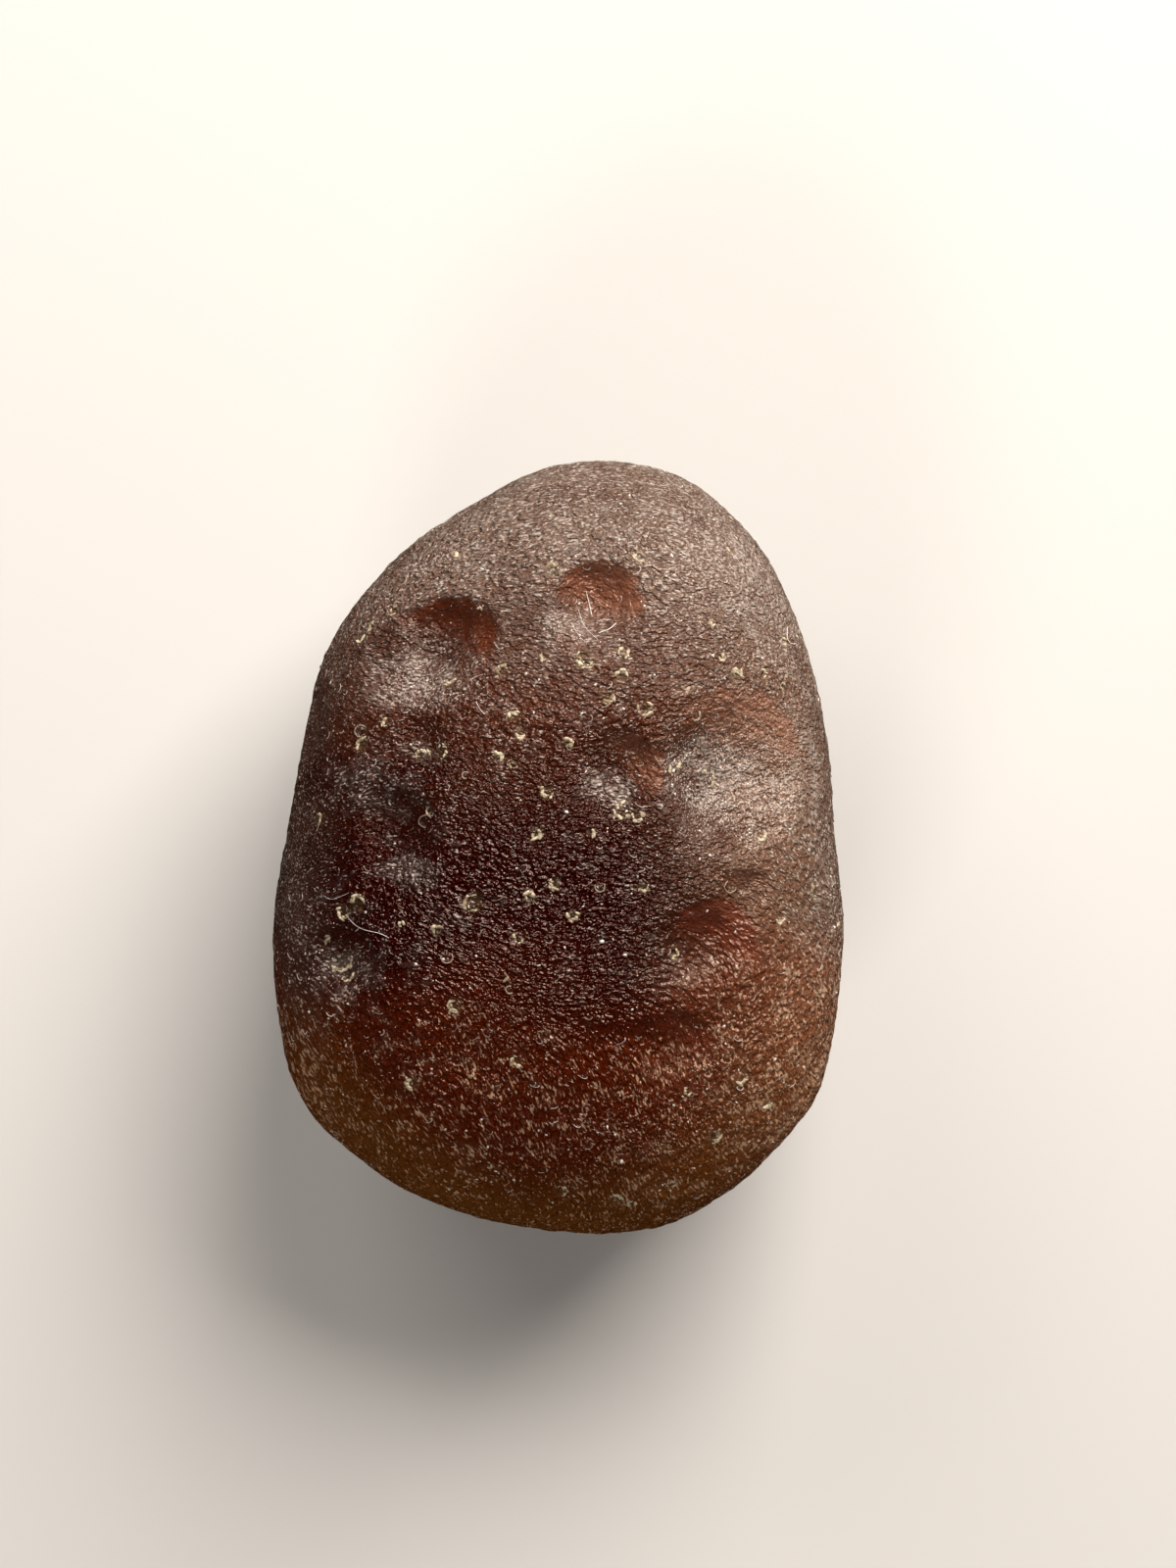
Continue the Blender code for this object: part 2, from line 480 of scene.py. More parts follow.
def hammeredSkinTree():
    bench, given = geometryTree("hammeredSkin", skin["inputs"], [("Pits", "NodeSocketObject")])
    place = bench.position()
    normal = bench.add("GeometryNodeInputNormal")
    inMm = bench.vector("SCALE", place, mmPerMetre)
    spots = bench.add("GeometryNodeObjectInfo", {"transform_space": "ORIGINAL"},
                      {"Object": given["Pits"]}, output="Geometry")

    lumps = bench.noise(bench.vector("SCALE", inMm, 1 / given["Lump Size"]), size=1.0)
    grains = bench.noise(bench.vector("SCALE", inMm, 1 / given["Grain Size"]), size=1.0)
    rise = (lumps - 0.5) * given["Lump Height"] + (grains - 0.5) * given["Grain Height"]

    bend = bench.vector("SCALE", bench.drift(inMm, skin["bendSize"]), skin["bendReach"])
    across, along, _ = bench.parts(bench.vector("ADD", inMm, bend))
    upward = bench.smooth(bench.parts(normal)[2], *skin["upward"])
    rise, bare = scooped(bench, rise, across, along, upward)
    pitShare, pitDirt = nearestPit(bench, spots, place)
    rise = rise - (1 - pitShare * pitShare).atLeast(0.0) * given["Pit Depth"]

    # nothing sinks below the surface that the pebble rests on
    moved = bench.vector("ADD", place, bench.vector("SCALE", normal, rise * mm))
    endX, endY, endZ = bench.parts(moved)
    shaped = bench.add("GeometryNodeSetPosition", None, {
        "Geometry": given["Geometry"], "Position": bench.xyz(endX, endY, endZ.atLeast(0.0))})
    fields = {
        "bare": bare,
        "pitShare": pitShare,
        "pitDirt": pitDirt,
        "frostShare": patchShare(bench, across, along, skin["frostAndSheenPatches"]) * upward,
        "fineShare": patchShare(bench, across, along, skin["finePatches"]) * upward,
    }
    for name, value in fields.items():
        shaped = bench.add("GeometryNodeStoreNamedAttribute", {"data_type": "FLOAT", "domain": "POINT"},
                           {"Geometry": shaped, "Name": name, "Value": value})
    return endTree(bench, given, shaped)


# Where the pits are

pits = {
    "seed": 11,
    "strays": 230,
    "strayRadius": (0.09, 0.20),     # millimetres
    "strayDirt": (0.4, 0.9),         # how full of dirt a pit is, from 0 to 1
    "seenDirt": (0.55, 1.0),
    "dirtyShare": 0.25,              # of the strays
    "apart": 0.8,                    # millimetres between a stray and the next pit
    "lowest": 0.6,                   # millimetres above the floor
    "rayReach": 0.05,                # metres, how far outside the pebble a stray's ray starts
    # seen in the photograph: pixel across and down, radius in millimetres
    "seen": (
        (468, 565, 0.16), (564, 582, 0.26), (653, 568, 0.22), (747, 562, 0.14), (379, 639, 0.15),
        (367, 650, 0.20), (459, 692, 0.26), (598, 673, 0.34), (636, 665, 0.20), (513, 684, 0.20),
        (634, 691, 0.26), (736, 669, 0.18), (779, 687, 0.20), (752, 690, 0.24), (619, 711, 0.24),
        (525, 733, 0.24), (531, 747, 0.20), (579, 758, 0.16), (393, 737, 0.16), (369, 760, 0.26),
        (430, 771, 0.24), (448, 767, 0.28), (508, 772, 0.16), (524, 778, 0.20), (558, 808, 0.22),
        (547, 850, 0.20), (636, 826, 0.32), (651, 832, 0.20), (694, 777, 0.30), (728, 796, 0.18),
        (777, 851, 0.20), (324, 836, 0.20), (658, 723, 0.24), (364, 922, 0.30), (350, 931, 0.24),
        (483, 922, 0.32), (446, 950, 0.20), (566, 903, 0.20), (540, 916, 0.18), (656, 905, 0.18),
        (688, 972, 0.22), (346, 979, 0.42), (336, 965, 0.20), (354, 995, 0.24), (464, 1027, 0.24),
        (833, 909, 0.36), (797, 937, 0.20), (421, 1106, 0.26), (728, 1161, 0.28), (782, 1127, 0.20),
        (758, 1101, 0.20), (572, 1216, 0.22), (628, 1223, 0.20), (645, 1229, 0.18),
    ),
}


def pitSpots(surface, camera):
    # the seen pits, then strays all round that keep clear of them; one vertex for each pit
    places, radii, dirtiness = [], [], []
    chance = random.Random(pits["seed"])
    for across, down, radius in pits["seen"]:
        places.append(underPixel(surface, camera, across, down)[0])
        radii.append(radius * mm)
        dirtiness.append(chance.uniform(*pits["seenDirt"]))
    centre = Vector((0, 0, view["widestLine"]))
    while len(places) < len(pits["seen"]) + pits["strays"]:
        way = Vector([chance.gauss(0, 1) for _ in range(3)]).normalized()
        radius = chance.uniform(*pits["strayRadius"])
        dirty = chance.random() < pits["dirtyShare"]
        hit = surface.ray_cast(centre + way * pits["rayReach"], -way)[0]
        if hit is None or hit.z < pits["lowest"] * mm:
            continue
        if min((hit - place).length for place in places) > pits["apart"] * mm:
            places.append(hit)
            radii.append(radius * mm)
            dirtiness.append(chance.uniform(*pits["strayDirt"]) if dirty else 0.0)
    mesh = bpy.data.meshes.new("pitSpots")
    mesh.from_pydata(places, [], [])
    for name, kind, values in (("pitRadius", "FLOAT", radii), ("pitDirt", "FLOAT", dirtiness),
                               ("pitNumber", "INT", range(len(places)))):
        mesh.attributes.new(name, kind, "POINT").data.foreach_set("value", values)
    return newPiece("pitSpots", mesh)


# The look of the glass skin

glassLook = {
    # colours of the glass itself
    "deep": colour(0.026, 0.0012, 0.0005),    # the middle, where the glass is thickest, and laid again on the underside as painted shade
    "umber": colour(0.085, 0.022, 0.01),      # between the middle and the narrow end, patchy, and lighter there as painted light from the key lamp
    "brown": colour(0.175, 0.082, 0.045),     # the right side, patchy, and lighter as painted light where the key lamp falls
    "dusky": colour(0.15, 0.086, 0.06),       # the narrow end and the edges: painted light on the lit top and painted reflection on the rims
    "ember": colour(0.085, 0.01, 0.0015),     # the broad end
    "russet": colour(0.23, 0.068, 0.026),     # the broad end's right side, a painted red glow where the lamps light it
    "olive": colour(0.16, 0.052, 0.007),      # the rim of the broad end: painted glow of light shining through the thin glass
    "amber": colour(0.1, 0.018, 0.005),       # bare scoop walls on the left: painted glow of light shining through the glass
    "clear": colour(0.4, 0.16, 0.09),         # and on the right, a brighter painted glow
    "red": colour(0.19, 0.036, 0.016),        # and near the broad end, a redder painted glow
    # colours laid on it
    # pale frost, which is also painted sheen where the top, the right side and scoop walls face the
    # lamps
    "paleFrostAndSheen": colour(0.375, 0.332, 0.296),
    "warmFrostAndSheen": colour(0.46, 0.28, 0.15),    # the broad end's frost
    "lines": colour(0.56, 0.48, 0.42),        # thin worn edges
    "warmLines": colour(0.64, 0.4, 0.25),
    "stain": colour(0.3, 0.235, 0.12),
    # painted shade at the bottoms of dirty pits
    "pitBottomShade": colour(0.035, 0.02, 0.005),

    # how light goes through and comes back
    "absorbed": (240, 500, 690),     # how strongly red, green and blue are absorbed, per metre
    "absorbDensity": 700.0,
    "clearness": 0.22,
    "ior": 1.49,
    "sheen": colour(1.0, 0.80, 0.68),
    "roughness": 0.13,
    "hazeRoughness": 0.28,           # added where the frost is thick
    "stainRoughness": 0.10,          # and where a pit is stained

    # where each part of the pebble begins and where it is full, in millimetres
    "rightSide": (1.5, 8.5),         # across
    "rightRim": (6.8, 9.2),
    "leftRim": (-6.2, -8.6),
    "clearAcross": (-3.5, 7.0),
    "slantAcross": (4.0, 8.0),
    "lower": (-1.5, -7.5),           # along
    "narrowEnd": (1.5, 11.0),
    "upper": (-1.0, 6.0),
    "dusk": (3.5, 10.5),
    "oliveAlong": (-3.0, -10.0),
    "redAlong": (0.5, -1.5),
    "slantAlong": (0.0, 4.0),
    "underside": (6.2, 2.5),         # up
    "halfWidth": 9.2,
    "halfLength": 12.4,
    "oliveOut": (0.55, 0.95),        # outwards, 1 being the outline
    "leftRimShare": 0.4,             # how much the left rim counts beside the right one

    # the size of each noise in millimetres, and what the broad ones do
    "broadSize": 3.0,
    "clumpSize": 0.6,
    "swaySize": 4.0,
    "wrinkleSize": 0.17,
    "dashSize": 0.080,
    "lineSize": 0.068,
    "speckSize": 0.060,
    "stainSize": 0.13,
    "swayReach": 6.0,                # how far the broad end's border wanders
    "flowReach": 1.3,                # and the strokes
    "patchy": (0.15, 0.55),          # the broad noise's values between which colours come in

    # strokes: degrees from +X, and how far they are drawn out, 1 being round
    "lyingAngle": 0,
    "slantAngle": -42,
    "hangAngle": -66,
    "wrinkleStretch": 0.72,
    "lineStretch": 0.40,
    "lyingDown": 0.8,                # down the sides
    "hangGrowth": 1.1,
    "slantLean": 0.6,                # how the slanting strokes' border leans

    # relief of the strokes, in millimetres, and how much of it is taken away
    "wrinkleHeight": 0.085,
    "dashHeight": 0.030,
    "speckHeight": 0.012,
    "reliefRise": (0.38, 0.62),      # the noise's values between which the relief rises
    "calmBare": 0.6,
    "calmFine": 0.50,
    "calmRight": 0.35,

    # how thick the frost lies: everywhere, and more in these places; at the narrow end, the right side
    # and the patches it is partly painted sheen, and at the rims painted reflection
    "frostAll": -0.08,
    "frostAndSheenNarrow": 0.59,
    "frostAndSheenRight": 0.37,
    "frostAndSheenRim": 0.22,
    "frostBroad": 0.05,
    "frostAndSheenPatch": 0.50,
    "frostMost": 1.2,
    "broadSpread": 0.55,             # how much it varies from place to place
    "clumpSpread": 1.1,
    "undersideFrost": 0.4,           # how much less there is below, which darkens the underside as painted shade
    "hazeShare": 0.35,               # how pale thick frost and the painted sheen are
    "hazeEven": 0.12,                # and its even, wrinkled and dashed parts
    "hazeWrinkles": 0.55,
    "hazeDashes": 0.33,

    # pale lines, where their noise is above a threshold
    "lineShare": 0.68,
    "lineThreshold": 0.67,
    "lineStart": -0.03,
    "lineSoftness": 0.08,
    "lineBare": 0.8,                 # how much fainter they are on bare glass
    "lineCrowding": 0.20,            # what lowers the threshold: thick frost,
    "lineLower": 0.05,               # the broad end, evenly and in clumps,
    "lineClumping": 0.22,
    "lineRim": 0.06,                 # the left rim,
    "lineFine": 0.07,                # and the finely speckled skin

    # how strongly each colour comes in
    "duskRim": 0.8,
    "duskEven": 0.4,
    "emberRight": 0.4,               # how much less on the right side
    "russetShare": 0.7,
    "oliveShare": 0.85,
    "oliveRight": 0.5,
    "undersideDeep": 0.75,
    "stainShare": 0.14,
    "stainRag": 1.6,                 # how ragged the stain's edge is
    "stainSpan": (1.30, 0.80),       # where it begins and is full, 1 being the pit's rim
    "bottomShare": 0.75,
    "bottomRag": 0.8,
    "bottomSpan": (0.55, 0.25),
}

# What the look goes by: places in millimetres, noises, and shares from 0 to 1
Zones = namedtuple("Zones", "place across along broad clumps sway lower rightSide leftRim rim underside")


def glassZones(bench, look):
    place = surfaceInMm(bench)
    across, along, up = bench.parts(place)
    sway = bench.drift(place, look["swaySize"], detail=0.0)
    leftRim = bench.smooth(across, *look["leftRim"])
    return Zones(
        place=place, across=across, along=along, sway=sway, leftRim=leftRim,
        broad=bench.noise(place, look["broadSize"]),
        clumps=bench.noise(place, look["clumpSize"]),
        lower=bench.smooth(along + bench.parts(sway)[0] * look["swayReach"], *look["lower"]),
        rightSide=bench.smooth(across, *look["rightSide"]),
        rim=bench.smooth(across, *look["rightRim"]).atLeast(leftRim * look["leftRimShare"]),
        underside=bench.smooth(up, *look["underside"]))


def glassStrokes(bench, look, zones):
    # wrinkles, dashes and lines: they lie on the crown, slant on its right and hang lower down
    slantShare = bench.smooth(zones.across - zones.along * look["slantLean"], *look["slantAcross"])
    slantShare = slantShare * (1 - bench.smooth(zones.along, *look["slantAlong"]))
    flowing = bench.vector("ADD", zones.place, bench.vector("SCALE", zones.sway, look["flowReach"]))

    def strokes(angle, size, share, shareDown):
        # noise drawn out along one direction of the plan, and down steep sides
        turned = bench.add("ShaderNodeVectorRotate", {"rotation_type": "Z_AXIS"},
                           {"Vector": flowing, "Angle": math.radians(-angle)})
        stretched = bench.vector("MULTIPLY", turned, (share, 1.0, shareDown))
        return bench.noise(stretched, size, detail=1.0)

    def drawnOut(size, share):
        lying = strokes(look["lyingAngle"], size, share, look["lyingDown"])
        slanting = strokes(look["slantAngle"], size, share, share)
        hanging = strokes(look["hangAngle"], size * look["hangGrowth"], share, share)
        upper = lying + (slanting - lying) * slantShare
        return upper + (hanging - upper) * zones.lower

    wrinkles = bench.smooth(drawnOut(look["wrinkleSize"], look["wrinkleStretch"]), *look["reliefRise"])
    dashes = bench.smooth(drawnOut(look["dashSize"], look["wrinkleStretch"]), *look["reliefRise"])
    return wrinkles, dashes, drawnOut(look["lineSize"], look["lineStretch"])


def glassFrostAndSheen(bench, look, zones, wearAndPaintedLight):
    # how thick the frost lies, with the painted sheen and rim reflection that come with it
    added = (
        ("frostAndSheenNarrow", bench.smooth(zones.along, *look["narrowEnd"])),
        ("frostAndSheenRight", zones.rightSide),
        ("frostBroad", zones.lower),
        ("frostAndSheenPatch", wearAndPaintedLight["frostShare"]),
        ("frostAndSheenRim", zones.rim),
        ("broadSpread", zones.broad - 0.5),
        ("clumpSpread", zones.clumps - 0.5),
    )
    frostAndSheen = look["frostAll"]
    for name, share in added:
        frostAndSheen = frostAndSheen + share * look[name]
    frostAndSheen = frostAndSheen * (1 - wearAndPaintedLight["bare"]) * (1 - zones.underside * look["undersideFrost"])
    return frostAndSheen.atLeast(0.0).atMost(look["frostMost"])


def glassLines(bench, look, zones, wearAndPaintedLight, noise, frostAndSheen):
    # how strongly the noise of the lines or specks shows as a pale one
    crowding = frostAndSheen * look["lineCrowding"]
    crowding = crowding + zones.lower * (zones.clumps - 0.5) * look["lineClumping"]
    crowding = crowding + (zones.leftRim * look["lineRim"]).atLeast(wearAndPaintedLight["fineShare"] * look["lineFine"])
    threshold = look["lineThreshold"] - crowding - zones.lower * look["lineLower"]
    shown = bench.smooth(noise - threshold, look["lineStart"], look["lineSoftness"]) * look["lineShare"]
    return shown * (1 - wearAndPaintedLight["bare"] * look["lineBare"])


def glassBody(bench, look, zones, wearAndPaintedLight):
    # the colour of the glass under the frost, with painted light: lighter on the lit top and right side,
    # painted reflection at the rims, a painted glow on bare scoop walls and the thin rim of the broad
    # end, and painted shade on the underside
    patchy = bench.smooth(zones.broad, *look["patchy"])
    dusk = bench.smooth(zones.along, *look["dusk"]).atLeast(zones.rim * look["duskRim"])
    outness = (zones.across / look["halfWidth"]) ** 2 + (zones.along / look["halfLength"]) ** 2
    thinRimGlow = bench.smooth(outness, *look["oliveOut"]) * bench.smooth(zones.along, *look["oliveAlong"])
    layers = (
        ("umber", bench.smooth(zones.along, *look["upper"]) * patchy),
        ("brown", zones.rightSide * patchy),
        ("dusky", dusk * (look["duskEven"] + patchy * (1 - look["duskEven"]))),
        ("ember", zones.lower * (1 - zones.rightSide * look["emberRight"])),
        ("russet", zones.lower * zones.rightSide * look["russetShare"]),
        ("olive", thinRimGlow * (look["oliveShare"] - zones.rightSide * look["oliveRight"])),
        # painted shade: the underside is darkened
        ("deep", zones.underside * look["undersideDeep"]),
    )
    body = look["deep"]
    for name, share in layers:
        body = bench.blend(share, body, look[name])
    glow = bench.blend(bench.smooth(zones.across, *look["clearAcross"]), look["amber"], look["clear"])
    glow = bench.blend(bench.smooth(zones.along, *look["redAlong"]), glow, look["red"])
    return bench.blend(wearAndPaintedLight["bare"], body, glow)


def frostedGlass():
    look = glassLook
    material, bench, shader = newMaterial("frostedSmokyGlass")
    zones = glassZones(bench, look)
    wearAndPaintedLight = {}
    for name in ("bare", "pitShare", "pitDirt", "frostShare", "fineShare"):
        wearAndPaintedLight[name] = bench.add("ShaderNodeAttribute", {"attribute_name": name}).other("Fac")

    wrinkles, dashes, lines = glassStrokes(bench, look, zones)
    specks = bench.noise(zones.place, look["speckSize"], detail=1.0)
    calmed = (wearAndPaintedLight["bare"] * look["calmBare"]).atLeast(wearAndPaintedLight["fineShare"] * look["calmFine"])
    calmed = calmed.atLeast(zones.rightSide * look["calmRight"])
    height = (wrinkles * look["wrinkleHeight"] + dashes * look["dashHeight"]) * (1 - calmed)
    height = height + specks * wearAndPaintedLight["fineShare"] * look["speckHeight"]
    bump = bench.add("ShaderNodeBump", None, {"Strength": 1.0, "Distance": mm, "Height": height})

    frostAndSheen = glassFrostAndSheen(bench, look, zones, wearAndPaintedLight)
    hazeAndSheen = look["hazeEven"] + wrinkles * look["hazeWrinkles"] + dashes * look["hazeDashes"]
    hazeAndSheen = frostAndSheen * hazeAndSheen * look["hazeShare"]
    lines = lines + (specks - lines) * wearAndPaintedLight["fineShare"]
    shown = glassLines(bench, look, zones, wearAndPaintedLight, lines, frostAndSheen)
    body = glassBody(bench, look, zones, wearAndPaintedLight)
    # the haze is pale frost and, on the lit top, right side, rims and scoop walls, painted sheen
    body = bench.blend(hazeAndSheen, body, bench.blend(zones.lower, look["paleFrostAndSheen"], look["warmFrostAndSheen"]))
    body = bench.blend(shown, body, bench.blend(zones.lower, look["lines"], look["warmLines"]))

    # dirt stains the pits' walls raggedly, and their bottoms are darkened with painted shade
    ragged = bench.noise(zones.place, look["stainSize"]) - 0.5

    def pitStainAndShade(rag, span):
        return bench.smooth(wearAndPaintedLight["pitShare"] + ragged * rag, *span) * wearAndPaintedLight["pitDirt"]

    inPit = pitStainAndShade(look["stainRag"], look["stainSpan"])
    bottomShade = pitStainAndShade(look["bottomRag"], look["bottomSpan"])
    body = bench.blend(inPit * look["stainShare"], body, look["stain"])
    body = bench.blend(bottomShade * look["bottomShare"], body, look["pitBottomShade"])
    rough = look["roughness"] + frostAndSheen * look["hazeRoughness"] + inPit * look["stainRoughness"]

    for name, wire in (("Base Color", body), ("Roughness", rough), ("Normal", bump)):
        bench.tree.links.new(wire.socket, shader.inputs[name])
    shader.inputs["Transmission Weight"].default_value = look["clearness"]
    shader.inputs["IOR"].default_value = look["ior"]
    shader.inputs["Specular Tint"].default_value = look["sheen"]

    density = look["absorbDensity"]
    kept = [1 - taken / density for taken in look["absorbed"]]
    inside = bench.add("ShaderNodeVolumeAbsorption", None, {"Color": (*kept, 1), "Density": density})
    bench.tree.links.new(inside.socket, bench.tree.nodes["Material Output"].inputs["Volume"])
    return material


def buildSkin(camera):
    glass = newPiece("tektite_glass", weldedCopy(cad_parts["tektite"]))
    rounding = glass.modifiers.new("rounding", "SUBSURF")
    rounding.levels = skin["levels"]
    rounding.render_levels = skin["levels"]
    bakeModifiers(glass)
    spots = pitSpots(BVHTree.FromObject(glass, bpy.context.evaluated_depsgraph_get()), camera)
    runTree(glass, hammeredSkinTree(), {**skin["inputs"], "Pits": spots, "Material": frostedGlass()})
    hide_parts("tektite")
    finishPiece(glass)
    return glass, spots


glass, spots = buildSkin(camera)
print("glass skin laid on the solid")


# Pale dirt in the pits

dirt = {
    "inputs": {
        "Crumb Width": 0.046 * mm,
        "Crumbs Per Mm": 55.0,   # in a dirty pit, for each millimetre of its radius
        "Arc Shortest": 1.6,     # radians round the pit's rim
        "Arc Longest": 4.6,
    },
    "arcStarts": 6.283,          # radians, all the way round
    "arcJitter": 0.25,
    "reach": (0.50, 0.95),       # from the pit's middle, as shares of its radius
    "sideways": (0.31, 0.90, 0.30),
    "turnJitter": (0.6, 0.6, 0.6),
    "widthDraw": (0.3, 1.0),     # squared, grown and added to the least width
    "widthLeast": 0.4,
    "widthGrowth": 1.2,
    "long": (1.1, 2.2),          # these three are shares of the width
    "wide": (0.6, 1.0),
    "flat": 0.6,
    "raggedSize": 0.05,          # millimetres
    "raggedness": 1.2,           # as a share of the crumb's width
    "colour": colour(0.55, 0.46, 0.32),
    "dark": colour(0.20, 0.14, 0.08),
    "colourSize": 0.14,
    "roughness": 0.45,
}


def onSkin(bench, surface, place):
    # the nearest point of the skin, and the skin's normal there
    spot = bench.add("GeometryNodeProximity", {"target_element": "FACES"},
                     {0: surface, "Source Position": place})
    normal = bench.add("GeometryNodeInputNormal")
    facing = bench.add("GeometryNodeSampleNearestSurface", {"data_type": "FLOAT_VECTOR"},
                       {"Mesh": surface, "Value": normal, "Sample Position": place})
    return spot, bench.vector("NORMALIZE", facing)


def aligned(bench, normal, way):
    # a rotation whose Z is the skin's normal and whose X runs along a direction on it
    standing = bench.add("FunctionNodeAlignRotationToVector", {"axis": "Z"}, {"Vector": normal})
    return bench.add("FunctionNodeAlignRotationToVector", {"axis": "X", "pivot_axis": "Z"},
                     {"Rotation": standing, "Vector": way})


def pitDirtTree():
    bench, given = geometryTree("pitCrumbs", dirt["inputs"], [("Skin", "NodeSocketObject")])
    surface = bench.add("GeometryNodeObjectInfo", {"transform_space": "ORIGINAL"},
                        {"Object": given["Skin"]}, output="Geometry")
    place = bench.position()
    pitNumber = namedNumber(bench, "pitNumber", "INT")
    pitRadius = namedNumber(bench, "pitRadius")
    crumbs = pitRadius * mmPerMetre * given["Crumbs Per Mm"] * namedNumber(bench, "pitDirt")
    crumbs = crumbs.maths("CEIL")

    # the crumbs of a pit are spread along an arc of its rim
    copies = bench.add("GeometryNodeDuplicateElements", {"domain": "POINT"},
                       {"Geometry": given["Geometry"], "Amount": crumbs})
    turn = copies.other("Duplicate Index") / crumbs.atLeast(1.0)
    start = bench.random(0.0, dirt["arcStarts"], seed=3, identity=pitNumber)
    arc = bench.random(given["Arc Shortest"], given["Arc Longest"], seed=4, identity=pitNumber)
    angle = start + turn * arc + bench.random(-dirt["arcJitter"], dirt["arcJitter"], seed=5)
    reach = pitRadius * bench.random(*dirt["reach"], seed=6)
    _, normal = onSkin(bench, surface, place)
    sideways = bench.vector("NORMALIZE", bench.vector("CROSS_PRODUCT", normal, dirt["sideways"]))
    upways = bench.vector("CROSS_PRODUCT", normal, sideways)
    outward = bench.vector("ADD", bench.vector("SCALE", sideways, angle.maths("COSINE")),
                           bench.vector("SCALE", upways, angle.maths("SINE")))
    onRim = bench.vector("ADD", place, bench.vector("SCALE", outward, reach))
    spread = bench.add("GeometryNodeSetPosition", None, {"Geometry": copies, "Position": onRim})
    seat, _ = onSkin(bench, surface, bench.position())
    seated = bench.add("GeometryNodeSetPosition", None, {"Geometry": spread, "Position": seat})

    # they lie along the rim, flatter than they are wide
    _, facing = onSkin(bench, surface, bench.position())
    rimWay = bench.vector("ADD", bench.vector("CROSS_PRODUCT", facing, outward),
                          bench.randomVector(dirt["turnJitter"], seed=7))
    width = bench.random(*dirt["widthDraw"], seed=8)
    width = dirt["widthLeast"] + width * width * dirt["widthGrowth"]
    size = bench.xyz(width * bench.random(*dirt["long"], seed=9),
                     width * bench.random(*dirt["wide"], seed=10), width * dirt["flat"])
    crumb = bench.add("GeometryNodeMeshIcoSphere", None,
                      {"Radius": given["Crumb Width"], "Subdivisions": 2})
    solid = copiesOn(bench, seated, crumb, aligned(bench, facing, rimWay), size)
    ragged = bench.drift(positionInMm(bench), dirt["raggedSize"], detail=1.0)
    offset = bench.vector("SCALE", ragged, given["Crumb Width"] * dirt["raggedness"])
    rough = bench.add("GeometryNodeSetPosition", None, {"Geometry": solid, "Offset": offset})
    return endTree(bench, given, rough)


wanderSpan = (0.35, 0.62)      # the noise's values between which a plain material changes colour


def plainMaterial(name, values):
    # a piece's own colour, which wanders towards a dark one where the piece has that too
    material, bench, shader = newMaterial(name)
    shader.inputs["Roughness"].default_value = values["roughness"]
    shader.inputs["Base Color"].default_value = values["colour"]
    if "dark" in values:
        wander = bench.smooth(bench.noise(surfaceInMm(bench), values["colourSize"]), *wanderSpan)
        mixed = bench.blend(wander, values["dark"], values["colour"])
        bench.tree.links.new(mixed.socket, shader.inputs["Base Color"])
    return material


def buildPitDirt(glass, spots):
    crust = copyOf(spots, "pit_dirt")
    coat = plainMaterial("paleDirt", dirt)
    runTree(crust, pitDirtTree(), {**dirt["inputs"], "Skin": glass, "Material": coat})
    finishPiece(crust)


buildPitDirt(glass, spots)
print("dirt laid in the pits")


# Chips of the frosted skin that catch the light

chips = {
    "inputs": {
        "Density": 3.5 / mm ** 2,
        "Length": 0.060 * mm,
    },
    "seed": 5,
    "clumpSize": 1.6,            # millimetres
    "clumpSpan": (0.42, 0.68),   # the noise's values between which the chips crowd
    "fewest": 0.15,              # as a share of the density
    "clusterGain": 3.0,
    "clusterUp": (5.0, 7.0),     # millimetres, the clusters are on the crown only
    "lowest": (0.3, 0.5),        # millimetres, no chips below
    "tilt": (0.4, 0.4, 3.1),     # radians
    "lengthDraw": (0.5, 1.0),    # squared, then grown
    "lengthGrowth": (0.6, 1.6),
    "wide": (0.3, 0.8),          # these two are shares of the length
    "flat": 0.25,
    "clusters": (                # middle x and y, radii, strength
        (4.60, 2.10, 1.00, 0.80, 1.0),
        (3.70, 2.80, 0.35, 0.55, 4.0),
        (5.90, 1.30, 1.50, 1.00, 0.6),
        (-4.00, 4.80, 1.40, 0.50, 0.7),
        (0.90, 6.70, 1.10, 0.40, 0.7),
        (1.90, 1.40, 0.60, 0.40, 0.8),
        (-6.90, -3.50, 0.70, 0.80, 0.7),
        (-4.30, 3.00, 0.60, 0.40, 0.7),
    ),
    "colour": colour(0.72, 0.67, 0.60),
    "dark": colour(0.36, 0.29, 0.24),
    "colourSize": 0.6,
    "roughness": 0.35,
}


def strewnPoints(bench, given, crowding):
    return bench.add("GeometryNodeDistributePointsOnFaces", {"distribute_method": "RANDOM"}, {
        "Mesh": given["Geometry"], "Density": given["Density"] * crowding, "Seed": given["Seed"]})


def turnedBy(bench, rotation, extra):
    return bench.add("FunctionNodeRotateRotation", {"rotation_space": "LOCAL"},
                     {"Rotation": rotation, "Rotate By": extra})


